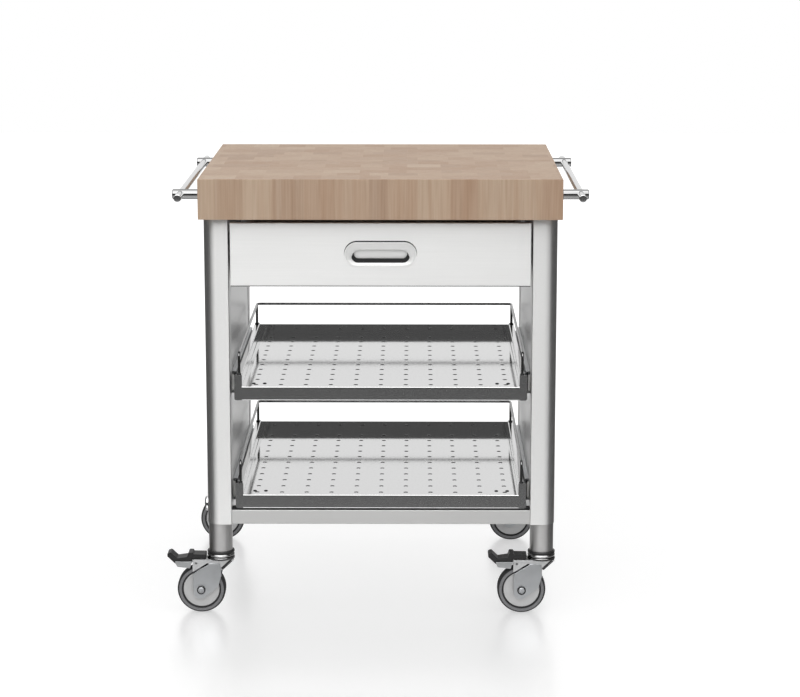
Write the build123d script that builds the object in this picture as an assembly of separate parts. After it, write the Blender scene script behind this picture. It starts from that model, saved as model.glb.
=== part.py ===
from build123d import *
import os

# Kitchen trolley. The origin is on the floor under the middle of the worktop,
# +X to the right and +Y to the back as one faces the drawer, in millimetres.

# Worktop: a glued beech block
top_width = 715
top_depth = 630
top_thick = 80
height = 890
top_edge = 1.5

# Frame: two hollow side casings round four tubular legs
frame_width = 700
casing_width = 50
casing_depth = 592
casing_foot = 188
casing_lip = 49
sheet = 1.0
panel_lap = 12
leg_dia = 47.6
leg_wall = 1.5
leg_foot = 130
rail_size = 30
rail_wall = 1.5
rail_corner = 2.5
top_rail_width = 40
top_rail_thick = 5
cap_dia = 30
cap_rise = 6
cap_height = 224
cap_setback = 33

# Telescopic slides, 45 mm class, full extension
slide_height = 45
slide_thick = 13
slide_length = 480
slide_sheet = 1.2
slide_flange = 9
slide_curl = 2.5
slide_play = 5
middle_reach = (3.2, 5.5)
middle_curl = 3
inner_reach = 8
inner_curl = (3, 5)

# Drawer
drawer_gap = 3
drawer_top_gap = 9
drawer_front_height = 125
drawer_front_thick = 20
drawer_box_height = 92
drawer_depth = 540
pull_width = 143
pull_height = 50
pull_flange = 3
pull_slope = 7
slot_width = 115
slot_height = 26
slot_drop = 4
pocket_depth = 8
pocket_undercut = 10
cup_sheet = 1.0

# Trays
upper_tray_z = 472
lower_tray_z = 250
tray_depth = 573
tray_apron = 28
tray_apron_width = 584
tray_wall = 24
tray_side_width = 11.5
tray_hem = 9
tray_corner = 4
hole_pitch = 50
hole_count = 11
hole_dia = 8
hole_start = 22
rod_dia = 5.5
rod_rise = 67
rod_bend = 8
rod_sides = 8
rod_stay = 14

# Side handles
post_dia = 20
post_reach = 53
bar_dia = 15
bar_reach = 37
bar_length = 676
handle_drop = 35

# Castors, 100 mm class, trailing to the left
wheel_dia = 98
wheel_width = 28
tyre_shoulder = 4
core_dia = 73
core_width = 20
hub_dia = 24
hub_width = 31.6
castor_trail = 40
axle_dia = 8
axle_head_dia = 17
axle_head = 5
arm_inside = 17
arm_thick = 2.5
skirt_thick = 2
roof_thick = 2.5
boss_radius = 16
arm_shoulder = (-16, 34)
arm_head = (18, 39, 55)
arm_nose = (41.5, 31)
arm_waist = (34.4, 5.7)
boss_touch = (9.7, -12.7)
skirt_foot = (4, 34)
skirt_nose = (13, 42)
skirt_front = (14, 8)
skirt_lip = 26
collar_dia = 56
collar_thick = 5
race_dia = 44
race_gap = 0.3
pin_dia = 12
pin_reach = 30
pin_head_dia = 22
pin_head = 3.8
socket_length = 35
socket_flange = 5
fork_drop = 18
running = 0.05

# Brakes on the front castors
brake_pivot = (-50, 104)
brake_pin_dia = 5
lever_top = 107.5
lever_thick = 2
lever_length = 33
lever_edge = 4
cheek_tip = (4, 11)
cheek_rear = (3, 14)
shoe_length = 9
shoe_height = 9.8
shoe_setback = 3
pedal_width = 30
pedal_front = -30
pedal_rise = 1.5
PEDAL_TREAD = ((-30, 122), (-55, 122.5), (-57, 126), (-65, 126), (-68, 117), (-88, 114))
PEDAL_TOE = ((-101, 126.5), (-108, 124), (-108, 118))

# Worked-out places
top_foot = height - top_thick
outer_x = frame_width / 2
inner_x = outer_x - casing_width
leg_x = outer_x - casing_width / 2
front_y = -casing_depth / 2
back_y = casing_depth / 2
leg_y = back_y - casing_width / 2
panel_x = inner_x + sheet
slide_face = panel_x - slide_thick
tray_half = slide_face - 2 * running
drawer_middle = top_foot - drawer_top_gap - drawer_front_height / 2
drawer_slide_z = drawer_middle - 3
axle_z = wheel_dia / 2
fork_top = leg_foot - fork_drop
arm_outside = arm_inside + arm_thick
CORNERS = {
    "front_left": (-leg_x, -leg_y),
    "front_right": (leg_x, -leg_y),
    "rear_left": (-leg_x, leg_y),
    "rear_right": (leg_x, leg_y),
}


def along_x(sketch, x0, x1):
    """A profile drawn in Y and Z, carried from x0 to x1."""
    return extrude(Plane.YZ.offset(x0) * sketch, amount=x1 - x0)


def along_y(sketch, y0, y1):
    """A profile drawn in X and Z, carried from y0 to y1."""
    return extrude(Plane.XZ.offset(-y1) * sketch, amount=y1 - y0)


def upward(sketch, z0, z1):
    """A profile drawn in X and Y, carried from z0 up to z1."""
    return extrude(Plane.XY.offset(z0) * sketch, amount=z1 - z0)


def rod_x(dia, x0, x1, y, z):
    """A round rod along X."""
    return along_x(Pos(y, z) * Circle(dia / 2), x0, x1)


def rod_y(dia, y0, y1, x, z):
    """A round rod along Y."""
    return along_y(Pos(x, z) * Circle(dia / 2), y0, y1)


def rod_z(dia, z0, z1, x, y):
    """A round rod along Z."""
    return upward(Pos(x, y) * Circle(dia / 2), z0, z1)


def both_sides(right):
    """The right-hand piece and its mirror image, as one group."""
    return Compound(children=[right, mirror(right, Plane.YZ)])


def make_worktop():
    """The block, with all its edges eased."""
    block = Pos(0, 0, height - top_thick / 2) * Box(top_width, top_depth, top_thick)
    return chamfer(block.edges(), top_edge)


def make_casing():
    """The right casing: one sheet wrapped round both legs, with lips and a closed foot."""
    wide = casing_width
    outer = Rectangle(wide, casing_depth)
    outer = fillet(outer.vertices().group_by(Axis.X)[-1], wide / 2)
    core = Rectangle(wide - 2 * sheet, casing_depth - 2 * sheet)
    core = fillet(core.vertices().group_by(Axis.X)[-1], wide / 2 - sheet)
    mouth = Pos(-wide / 2, 0) * Rectangle(4 * sheet, casing_depth - 2 * casing_lip)
    middle = Pos(leg_x, 0)
    wall = upward(middle * (outer - core - mouth), casing_foot, top_foot)
    floor = middle * core
    for y in (-leg_y, leg_y):
        floor -= Pos(leg_x, y) * Circle(leg_dia / 2 + 2 * running)
    return wall + upward(floor, casing_foot, casing_foot + sheet)


def make_inner_panel():
    """The right inner panel: a sheet fixed behind the lips, which carries the slides."""
    deep = casing_depth - 2 * casing_lip + 2 * panel_lap
    panel = Pos(panel_x + sheet / 2, 0) * Rectangle(sheet, deep)
    return upward(panel, casing_foot + sheet, top_foot)


def make_leg(x, y):
    """A round tube from the worktop down to the castor."""
    ring = Circle(leg_dia / 2) - Circle(leg_dia / 2 - leg_wall)
    return upward(Pos(x, y) * ring, leg_foot, top_foot)


def make_bottom_rail(y):
    """A square tube between the casings, just under the lower tray."""
    bore = rail_size - 2 * rail_wall
    ring = RectangleRounded(rail_size, rail_size, rail_corner) - Rectangle(bore, bore)
    return along_x(Pos(y, casing_foot + sheet + rail_size / 2) * ring, -inner_x, inner_x)


def make_top_rail(y):
    """A flat bar across the top of the frame, screwed up into the block."""
    bar = Pos(0, y) * Rectangle(2 * inner_x, top_rail_width)
    return upward(bar, top_foot - top_rail_thick, top_foot)


def make_side_cap():
    """A round plug in the outer face of the left casing, low by the front leg."""
    disc = extrude(Circle(cap_dia / 2), amount=cap_rise)
    disc = chamfer(disc.edges().group_by(Axis.Z)[-1], cap_rise / 2)
    place = Plane(origin=(-outer_x, front_y + cap_setback, cap_height), z_dir=(-1, 0, 0))
    return place.location * disc


def slide_channel(points, z, y0):
    """One rolled member of the slide on the right, from points of reach and height."""
    line = Polyline([(panel_x - reach, z + rise) for reach, rise in points])
    return along_y(trace(line, slide_sheet), y0, y0 + slide_length)


def make_slides(z):
    """The outer, middle and inner members of one pair of telescopic slides."""
    skin = slide_sheet / 2
    a = slide_height / 2 - skin
    b = a - slide_play
    c = b - slide_play - 1
    back = slide_thick - skin
    lip = slide_flange
    curl = slide_curl
    near, far = middle_reach
    bend, end = inner_curl
    tip = inner_reach
    outer = [(lip, a - curl), (lip, a), (skin, a), (skin, -a), (lip, -a), (lip, curl - a)]
    middle = [(near, b + middle_curl), (far, b), (far, -b), (near, -b - middle_curl)]
    inner = [
        (tip, c + end), (lip, c + bend), (back, c), (back, -c), (lip, -c - bend), (tip, -c - end),
    ]
    start = -slide_length / 2
    return [both_sides(slide_channel(points, z, start)) for points in (outer, middle, inner)]


def make_drawer_front():
    """A hollow pan front with turned edges and an opening for the pull."""
    wide = 2 * (inner_x - drawer_gap)
    high = drawer_front_height
    face = Pos(0, drawer_middle) * Rectangle(wide, high)
    void = Pos(0, drawer_middle) * Rectangle(wide - 2 * sheet, high - 2 * sheet)
    y1 = front_y + drawer_front_thick
    pan = along_y(face, front_y, y1) - along_y(void, front_y + sheet, y1 - sheet)
    inset = 2 * pull_flange
    pull = Pos(0, drawer_middle) * SlotOverall(pull_width - inset, pull_height - inset)
    return pan - along_y(pull, front_y - 1, front_y + 2 * sheet)


def stadium(width, tall, z, y):
    """A slot-shaped face that looks to the front, centred at height z."""
    return (Plane.XZ.offset(-y) * (Pos(0, z) * SlotOverall(width, tall))).face()


def make_pull_cup():
    """The pressed pull: a flange, a dished rim down to the slot, and a pocket behind."""
    skin = 2 * cup_sheet
    slot_z = drawer_middle - slot_drop
    slot_y = front_y + pull_slope
    pocket_y = slot_y + pocket_depth
    wide = pull_width - 2 * pull_flange - 2 * running
    tall = pull_height - 2 * pull_flange - 2 * running
    flange = stadium(pull_width, pull_height, drawer_middle, front_y)
    cup = extrude(flange, amount=cup_sheet / 2)
    rim = stadium(wide, tall, drawer_middle, front_y)
    cup += loft([rim, stadium(slot_width + skin, slot_height + skin, slot_z, slot_y)], ruled=True)
    pocket_z = slot_z - pocket_undercut / 2
    high = slot_height + pocket_undercut
    back = stadium(slot_width + skin, high + skin, pocket_z, pocket_y)
    cup += extrude(back, amount=pocket_depth)
    hollow = stadium(slot_width, high, pocket_z, pocket_y - cup_sheet)
    cup -= extrude(hollow, amount=pocket_depth - skin)
    rim = stadium(wide - skin, tall - skin, drawer_middle, front_y - cup_sheet / 2)
    cup -= loft([rim, stadium(slot_width, slot_height, slot_z, slot_y + cup_sheet)], ruled=True)
    return cup


def make_drawer_box():
    """The drawer's folded box: floor, two sides, a front and a back wall."""
    y0 = front_y + drawer_front_thick
    y1 = y0 + drawer_depth
    outer = Pos(0, drawer_slide_z) * Rectangle(2 * tray_half, drawer_box_height)
    inner = Pos(0, drawer_slide_z + sheet) * Rectangle(2 * (tray_half - sheet), drawer_box_height)
    return along_y(outer, y0, y1) - along_y(inner, y0 + sheet, y1 - sheet)


def tray_holes():
    """The grid of drain holes, drawn as hexagons."""
    span = (hole_count - 1) * hole_pitch
    grid = Sketch()
    for row in range(hole_count):
        for column in range(hole_count):
            x = column * hole_pitch - span / 2
            y = front_y + hole_start + row * hole_pitch
            grid += Pos(x, y) * RegularPolygon(hole_dia / 2, 6)
    return grid


def make_tray(z):
    """A perforated tray: folded sides, a front apron with ears and a hem, and a back."""
    mid = sheet / 2
    outer = tray_half - mid
    inner = tray_half - tray_side_width + mid
    top = z + tray_wall - mid
    low = z - tray_apron + mid
    line = Polyline(
        (-outer, low), (-outer, top), (-inner, top), (-inner, z - mid),
        (inner, z - mid), (inner, top), (outer, top), (outer, low),
    )
    y0 = front_y + sheet
    y1 = front_y + tray_depth - sheet
    tray = along_y(trace(line, sheet), y0, y1)
    front = Pos(0, z - tray_apron / 2) * Rectangle(tray_apron_width, tray_apron)
    ear_width = tray_apron_width / 2 - inner + mid
    for x in (-1, 1):
        ear = Pos(x * (inner - mid + ear_width / 2), z + tray_wall / 2)
        front += ear * Rectangle(ear_width, tray_wall)
    front = fillet(front.vertices().group_by(Axis.Y)[0], tray_corner)
    tray += along_y(front, front_y, y0)
    hem = Pos(0, z - tray_apron + mid) * Rectangle(2 * (inner - tray_corner), sheet)
    tray += along_y(hem, y0, y0 + tray_hem)
    high = tray_wall + tray_apron
    back = Pos(0, z + tray_wall - high / 2) * Rectangle(2 * tray_half, high)
    tray += along_y(back, y1, y1 + sheet)
    return tray - upward(tray_holes(), z - 2 * sheet, z + sheet)


def make_tray_rail(z):
    """A bent wire rail round the tray's sides and back, with a stay at each back corner."""
    x = tray_half - tray_side_width / 2
    foot = z + tray_wall
    top = z + rod_rise
    y0 = front_y + rod_dia
    y1 = front_y + tray_depth - tray_side_width / 2
    path = FilletPolyline(
        (-x, y0, foot), (-x, y0, top), (-x, y1, top), (x, y1, top), (x, y0, top), (x, y0, foot),
        radius=rod_bend,
    )
    outline = RegularPolygon(rod_dia / 2, rod_sides)
    wire = sweep(Plane(origin=path @ 0, z_dir=path % 0) * outline, path)
    for side in (-x, x):
        wire += upward(Pos(side, y1 - rod_stay) * outline, foot, top)
    return wire


def make_handle(side):
    """A bar through two posts at one end of the block. Gives the bar and the posts."""
    z = height - handle_drop
    face = top_width / 2
    bar_x = face + bar_reach
    bar = rod_y(bar_dia, -bar_length / 2, bar_length / 2, bar_x, z)
    posts = []
    for y in (-leg_y, leg_y):
        post = rod_x(post_dia, face, face + post_reach, y, z)
        bore = rod_y(bar_dia + 2 * running, y - post_dia, y + post_dia, bar_x, z)
        posts.append(post - bore)
    group = Compound(children=posts)
    if side < 0:
        return mirror(bar, Plane.YZ), mirror(group, Plane.YZ)
    return bar, group


def make_socket(x, y):
    """The plug and flange in the leg's foot that takes the castor's pin."""
    bore = leg_dia - 2 * leg_wall - 2 * running
    plug = rod_z(bore, leg_foot, leg_foot + socket_length, x, y)
    flange = rod_z(collar_dia - 1, leg_foot - socket_flange, leg_foot, x, y)
    hole = rod_z(pin_dia + 2 * running, leg_foot - 2 * socket_flange, leg_foot + pin_reach, x, y)
    return plug + flange - hole


def make_pin(x, y):
    """The castor's pin and the bearing race it carries, fixed in the socket."""
    seat = fork_top + collar_thick + race_gap
    race = rod_z(race_dia, seat, leg_foot - socket_flange, x, y)
    foot = fork_top - roof_thick - 2 * race_gap
    head = rod_z(pin_head_dia, foot - pin_head, foot, x, y)
    return race + head + rod_z(pin_dia, foot, leg_foot + pin_reach - 1, x, y)


def fork_arm():
    """One arm's outline from the axle: a boss below, a slanted nose up to the head."""
    rear = (-boss_radius, 0)
    head_rear, head_front, top = arm_head
    sides = Polyline(
        rear, arm_shoulder, (head_rear, top), (head_front, top), arm_nose, arm_waist, boss_touch
    )
    round_end = ThreePointArc(boss_touch, (-0.6 * boss_radius, -0.8 * boss_radius), rear)
    return Pos(-castor_trail, axle_z) * make_face(sides + round_end)


def make_fork(x, y, braked):
    """A pressed swivel fork: a collar on a folded housing, and two arms to the axle."""
    rear = -castor_trail - boss_radius - 1
    foot_x, foot_rise = skirt_foot
    nose_x, nose_rise = skirt_nose
    front_x, front_drop = skirt_front
    low = axle_z + foot_rise
    skirt = make_face(Polyline(
        (rear, low), (foot_x, low), (nose_x, axle_z + nose_rise), (front_x, fork_top - front_drop),
        (skirt_lip, fork_top), (rear, fork_top), (rear, low),
    ))
    inside = arm_inside - skirt_thick
    roof = fork_top - roof_thick
    hollow = Pos(0, (low + roof) / 2) * Rectangle(4 * castor_trail, roof - low)
    fork = along_y(skirt, -arm_inside, arm_inside) - along_y(hollow, -inside, inside)
    arm = fork_arm()
    fork += along_y(arm, -arm_outside, arm_outside) - along_y(arm, -arm_inside, arm_inside)
    fork += rod_z(collar_dia, fork_top, fork_top + collar_thick, 0, 0)
    fork -= rod_z(pin_dia + 2 * running, roof - 1, fork_top + collar_thick + 1, 0, 0)
    across = arm_outside + 1
    fork -= rod_y(axle_dia + 2 * running, -across, across, -castor_trail, axle_z)
    if braked:
        fork -= rod_y(brake_pin_dia + 2 * running, -across, across, *brake_pivot)
    return Pos(x, y, 0) * fork


def make_axle(x, y):
    """The axle bolt with round heads outside the arms."""
    axle = rod_y(axle_dia, -arm_outside, arm_outside, -castor_trail, axle_z)
    for start in (-arm_outside - axle_head, arm_outside):
        axle += rod_y(axle_head_dia, start, start + axle_head, -castor_trail, axle_z)
    return Pos(x, y, 0) * axle


def make_wheel_core(x, y):
    """The moulded core: a disc for the tyre on a wider hub."""
    disc = rod_y(core_dia, -core_width / 2, core_width / 2, 0, 0)
    hub = rod_y(hub_dia, -hub_width / 2, hub_width / 2, 0, 0)
    bore = rod_y(axle_dia + 2 * running, -hub_width, hub_width, 0, 0)
    return Pos(x - castor_trail, y, axle_z) * (disc + hub - bore)


def make_tyre(x, y):
    """The rubber tyre: a band with bevelled shoulders."""
    half = wheel_width / 2
    band = rod_y(wheel_dia, -half, half, 0, 0)
    band = chamfer(band.edges().filter_by(GeomType.CIRCLE), tyre_shoulder)
    seat = rod_y(core_dia, -half - 1, half + 1, 0, 0)
    return Pos(x - castor_trail, y, axle_z) * (band - seat)


def make_brake_lever(x, y):
    """A pressed channel that straddles the tyre, with a shoe, on a pin in the fork."""
    rear = -castor_trail - boss_radius - 3
    tip = rear - lever_length
    tip_in, tip_drop = cheek_tip
    rear_in, rear_drop = cheek_rear
    cheek = make_face(Polyline(
        (rear, lever_top), (tip, lever_top), (tip, lever_top - lever_edge),
        (tip + tip_in, lever_top - tip_drop), (rear - rear_in, lever_top - rear_drop),
        (rear, lever_top),
    ))
    inside = arm_inside - skirt_thick
    under = lever_top - lever_thick
    hollow = Pos(tip, under - lever_length) * Rectangle(3 * lever_length, 2 * lever_length)
    lever = along_y(cheek, -arm_inside, arm_inside) - along_y(hollow, -inside, inside)
    pivot_x, pivot_z = brake_pivot
    neck_half = inside - 10 * running
    neck_length = pivot_x - rear + 4
    neck_x = pivot_x + 3 - neck_length / 2
    neck = Pos(neck_x, lever_top - lever_thick / 2) * Rectangle(neck_length, lever_thick)
    lever += along_y(neck, -neck_half, neck_half)
    shoe_half = inside - 3
    shoe_x = rear - shoe_setback - shoe_length / 2
    shoe = Pos(shoe_x, under - shoe_height / 2) * Rectangle(shoe_length, shoe_height)
    lever += along_y(shoe, -shoe_half, shoe_half)
    lever += rod_y(brake_pin_dia, -arm_inside, arm_inside, pivot_x, pivot_z)
    return Pos(x, y, 0) * lever


def make_brake_pedal(x, y):
    """The black pedal on the lever: a tread with a lug, and an upturned toe piece."""
    rear = -castor_trail - boss_radius - 2
    over_fork = fork_top + pedal_rise
    tip = rear - lever_length - 1
    low = lever_top - lever_edge
    outline = Polyline(
        (pedal_front, over_fork), *PEDAL_TREAD, *PEDAL_TOE, (tip - 1, low), (tip, low),
        (tip, lever_top), (rear, lever_top), (rear, over_fork), (pedal_front, over_fork),
    )
    pedal = along_y(make_face(outline), -pedal_width / 2, pedal_width / 2)
    return Pos(x, y, 0) * pedal


def build_all():
    """Every piece by the name of its file."""
    casing = make_casing()
    panel = make_inner_panel()
    rail_y = back_y - rail_size / 2
    top_rail_y = leg_y - casing_width
    parts = {
        "worktop": make_worktop(),
        "right_casing": casing,
        "left_casing": mirror(casing, Plane.YZ),
        "right_inner_panel": panel,
        "left_inner_panel": mirror(panel, Plane.YZ),
        "front_bottom_rail": make_bottom_rail(-rail_y),
        "rear_bottom_rail": make_bottom_rail(rail_y),
        "front_top_rail": make_top_rail(-top_rail_y),
        "rear_top_rail": make_top_rail(top_rail_y),
        "left_side_cap": make_side_cap(),
        "drawer_front": make_drawer_front(),
        "drawer_pull_cup": make_pull_cup(),
        "drawer_box": make_drawer_box(),
    }
    levels = {
        "drawer": drawer_slide_z,
        "upper_tray": upper_tray_z - 2,
        "lower_tray": lower_tray_z - 2,
    }
    for level, z in levels.items():
        outer, middle, inner = make_slides(z)
        parts[f"{level}_slides_outer"] = outer
        parts[f"{level}_slides_middle"] = middle
        parts[f"{level}_slides_inner"] = inner
    for name, z in (("upper_tray", upper_tray_z), ("lower_tray", lower_tray_z)):
        parts[name] = make_tray(z)
        parts[f"{name}_rail"] = make_tray_rail(z)
    for name, side in (("left", -1), ("right", 1)):
        bar, posts = make_handle(side)
        parts[f"{name}_handle_bar"] = bar
        parts[f"{name}_handle_posts"] = posts
    for corner, (x, y) in CORNERS.items():
        braked = corner.startswith("front")
        parts[f"{corner}_leg"] = make_leg(x, y)
        parts[f"{corner}_fork"] = make_fork(x, y, braked)
        parts[f"{corner}_axle"] = make_axle(x, y)
        parts[f"{corner}_wheel_core"] = make_wheel_core(x, y)
        parts[f"{corner}_tyre"] = make_tyre(x, y)
        if braked:
            parts[f"{corner}_brake_lever"] = make_brake_lever(x, y)
            parts[f"{corner}_brake_pedal"] = make_brake_pedal(x, y)
    places = CORNERS.values()
    parts["leg_sockets"] = Compound(children=[make_socket(x, y) for x, y in places])
    parts["castor_pins"] = Compound(children=[make_pin(x, y) for x, y in places])
    return parts


os.makedirs("parts", exist_ok=True)
for name, part in build_all().items():
    export_step(part, f"parts/{name}.step")
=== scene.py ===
import math

import bmesh
import bpy
import numpy as np
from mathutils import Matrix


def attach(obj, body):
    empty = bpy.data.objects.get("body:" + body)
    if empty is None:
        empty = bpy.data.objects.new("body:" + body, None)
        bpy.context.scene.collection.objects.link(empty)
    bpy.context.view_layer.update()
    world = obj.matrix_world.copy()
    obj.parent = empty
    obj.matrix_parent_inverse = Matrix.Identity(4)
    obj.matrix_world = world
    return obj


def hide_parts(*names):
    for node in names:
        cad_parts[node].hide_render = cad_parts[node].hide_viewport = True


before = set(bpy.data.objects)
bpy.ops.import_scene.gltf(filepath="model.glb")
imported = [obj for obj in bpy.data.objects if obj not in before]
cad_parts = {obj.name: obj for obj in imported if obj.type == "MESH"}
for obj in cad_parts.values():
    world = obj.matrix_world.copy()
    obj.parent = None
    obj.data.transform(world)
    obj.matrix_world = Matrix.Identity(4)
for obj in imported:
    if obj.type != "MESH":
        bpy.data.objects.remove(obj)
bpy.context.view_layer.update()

# The part is one kitchen trolley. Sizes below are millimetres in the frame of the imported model:
# +X right, +Y to the back, +Z up from the floor under the middle of the worktop. A shape is an
# array of points and a list of arrays of faces.
MM = 0.001


# Worktop: an 80 mm block of beech staves glued upright, so that the top is end grain and the
# front shows straight grain. It is sanded, oiled, and its edges are eased by hand.

def linear(colour):
    """An sRGB hex colour as linear red, green, blue and an alpha of 1."""
    s = np.array([int(colour[i:i + 2], 16) for i in (1, 3, 5)]) / 255
    return (*np.where(s <= 0.04045, s / 12.92, ((s + 0.055) / 1.055) ** 2.4), 1.0)


def set_inputs(node, inputs):
    """Gives each named input a value, or links it from an output or from a node's first output."""
    for name, value in inputs.items():
        if isinstance(value, bpy.types.Node):
            value = value.outputs[0]
        if isinstance(value, bpy.types.NodeSocket):
            node.id_data.links.new(value, node.inputs[name])
        else:
            node.inputs[name].default_value = value


def add_node(tree, kind, inputs=None, stops=(), **settings):
    """Adds a shader node with its settings and inputs. A ramp's stops are places and colours; it
    has its first stop, 0, and its last, 1, from the start."""
    made = tree.nodes.new("ShaderNode" + kind)
    for name, value in settings.items():
        setattr(made, name, value)
    set_inputs(made, inputs or {})
    for place, colour in stops:
        marks = made.color_ramp.elements
        mark = marks[-int(place)] if place in (0, 1) else marks.new(place)
        mark.color = linear(colour)
    return made


def new_finish(name, **surface):
    """A material with one Principled surface, whose even values are set on its own sockets, with
    its node tree, its shader and the place of each point on the object."""
    made = bpy.data.materials.new(name)
    made.use_nodes = True
    shader = made.node_tree.nodes["Principled BSDF"]
    set_inputs(shader, {socket.replace("_", " "): value for socket, value in surface.items()})
    place = add_node(made.node_tree, "TexCoord").outputs["Object"]
    return made, made.node_tree, shader, place


def quads(ids):
    """The four-cornered faces between neighbours in a grid of point numbers."""
    low, high = ids[..., :-1, :], ids[..., 1:, :]
    return np.stack([low[..., :-1], high[..., :-1], high[..., 1:], low[..., 1:]], -1)


def skin(points, joined=False, closed=True, caps=()):
    """Rows of matching points with faces between each two. The last row goes on to the first where
    joined is true, each row closes on itself where closed is, and caps lists rows that get a face
    of their own."""
    rows, many = points.shape[:2]
    ids = np.arange(rows * many).reshape(rows, many)
    wrapped = np.pad(ids, ((0, int(joined)), (0, int(closed))), "wrap")
    return points.reshape(-1, 3), [quads(wrapped)] + [ids[[row]] for row in caps]


def laid(line, along, axis):
    """A flat line at a place along an axis: its two numbers run along Y and Z, along X and Z, or
    along X and Y."""
    u, v = np.asarray(line, float).T
    order = {"x": (2, 0, 1), "y": (0, 2, 1), "z": (0, 1, 2)}[axis]
    return np.stack([u, v, np.full(len(u), float(along))], -1)[:, order]


def prism(outline, axis, start, end):
    """An outline carried straight along an axis: a wall round it, and a face at each end."""
    return skin(np.stack([laid(outline, along, axis) for along in (start, end)]), caps=(0, -1))


def box_shape(x0, x1, y0, y1, z0, z1):
    """A plain plate or bar between two corners."""
    return prism([(x0, y0), (x1, y0), (x1, y1), (x0, y1)], "z", z0, z1)


def make_piece(name, shapes, body, slot, finish, *nodes, ease=0, crisp=35):
    """Joins shapes into one mesh that rides on a body and stands for CAD nodes. Doubled points
    merge, normals turn outwards, edges steeper than crisp stay sharp, large faces weigh more in
    the shading, and ease first rounds edges over 30 degrees by that many millimetres."""
    points, faces, start = [], [], 0
    for shape_points, blocks in shapes:
        points.append(shape_points)
        for block in blocks:
            faces += (block.reshape(-1, block.shape[-1]) + start).tolist()
        start += len(shape_points)
    mesh = bpy.data.meshes.new(name)
    mesh.from_pydata(np.concatenate(points) * MM, [], faces)
    work = bmesh.new()
    work.from_mesh(mesh)
    bmesh.ops.remove_doubles(work, verts=work.verts, dist=1e-6)
    bmesh.ops.dissolve_degenerate(work, edges=work.edges, dist=1e-6)
    bmesh.ops.recalc_face_normals(work, faces=work.faces)
    if ease:
        steep = [e for e in work.edges if e.is_manifold and e.calc_face_angle() > math.radians(30)]
        bmesh.ops.bevel(work, geom=steep, offset=ease * MM, segments=2, profile=0.5,
                        affect="EDGES", clamp_overlap=True)
    work.to_mesh(mesh)
    work.free()
    mesh.shade_smooth()
    mesh.set_sharp_from_angle(angle=math.radians(50 if ease else crisp))
    mesh.materials.append(finish)
    made = bpy.data.objects.new(name, mesh)
    bpy.context.scene.collection.objects.link(made)
    made.modifiers.new("even_shading", "WEIGHTED_NORMAL").keep_sharp = True
    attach(made, body)
    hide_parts(*nodes)
    return made


half_x, half_y, top_low, top_high = 357.5, 315, 810, 890
top_corner = 1.2

# Oiled beech: fine upright fibres 4 mm apart, drawn coarser than real ones so that they show, in
# staves of 58 by 46 mm whose tone runs from pale straw to pinkish brown, with a soft oil sheen.
# The staves' edges wander by a few millimetres, as glued ones do.
beech, tree, shader, place = new_finish("oiled_end_grain_beech", Specular_IOR_Level=0.4)
axes = add_node(tree, "SeparateXYZ", {"Vector": place}).outputs
wandered = {}
for axis, scale, far in (("X", 9.0, 0.07), ("Y", 11.0, 0.05)):
    drift = add_node(tree, "TexNoise", {"W": axes[axis], "Scale": scale, "Detail": 1.0},
                     noise_dimensions="1D")
    wandered[axis] = add_node(tree, "Math", {0: drift, 1: far, 2: axes[axis]},
                              operation="MULTIPLY_ADD")
staves = add_node(
    tree, "TexBrick",
    {"Vector": add_node(tree, "CombineXYZ", wandered), "Color1": (0, 0, 0, 1),
     "Color2": (1, 1, 1, 1), "Mortar": (0.35, 0.35, 0.35, 1), "Scale": 1.0,
     "Mortar Size": 0.0004, "Mortar Smooth": 0.3, "Brick Width": 0.058, "Row Height": 0.046},
    offset=0.37).outputs["Color"]
tone = add_node(tree, "ValToRGB", {"Fac": staves},
                stops=[(0, "#b39b87"), (0.3, "#c2ad98"), (0.5, "#bea792"), (0.75, "#b59b85"),
                       (1, "#c7b4a0")])
shift = add_node(tree, "VectorMath", {0: place, 1: staves}, operation="ADD")
fibre_place = add_node(tree, "Mapping", {"Vector": shift, "Scale": (260, 260, 7)})
fibres = add_node(tree, "TexNoise", {"Vector": fibre_place, "Scale": 1.0, "Detail": 3.0,
                                     "Roughness": 0.6})
ring_place = add_node(tree, "Mapping", {"Vector": shift, "Scale": (52, 95, 2.2)})
rings = add_node(tree, "TexNoise", {"Vector": ring_place, "Scale": 1.0, "Detail": 2.0,
                                    "Distortion": 0.6})
fibre_tone = add_node(tree, "ValToRGB", {"Fac": fibres},
                      stops=[(0, "#ddd3ca"), (0.35, "#f0eae4"), (0.6, "#fbf8f5"), (1, "#ffffff")])
ring_tone = add_node(tree, "ValToRGB", {"Fac": rings},
                     stops=[(0, "#eadfd7"), (0.4, "#f7f1ec"), (0.62, "#ffffff"), (1, "#f6f0ea")])
wood_tone = tone.outputs[0]
for share, veil in ((1.0, fibre_tone), (0.9, ring_tone)):
    wood_tone = add_node(tree, "Mix", {0: share, 6: wood_tone, 7: veil}, data_type="RGBA",
                         blend_type="MULTIPLY").outputs[2]
sheen = add_node(tree, "MapRange", {"Value": fibres, "To Min": 0.42, "To Max": 0.58})
pores = add_node(tree, "Bump", {"Height": fibres, "Strength": 0.25, "Distance": 0.0004})
set_inputs(shader, {"Base Color": wood_tone, "Roughness": sheen, "Normal": pores})

block = box_shape(-half_x, half_x, -half_y, half_y, top_low, top_high)
make_piece("worktop_block", [block], "frame", "beech", beech, "worktop", ease=top_corner)


# Side casings: 1 mm stainless sheet, brushed lengthways, bent round both legs at each side and
# turned in at the mouth as two lips, with a flat foot. They hang from the block.

def unit(lines):
    """Vectors with a length of 1."""
    return lines / np.maximum(np.linalg.norm(lines, axis=-1, keepdims=True), 1e-9)


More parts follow.
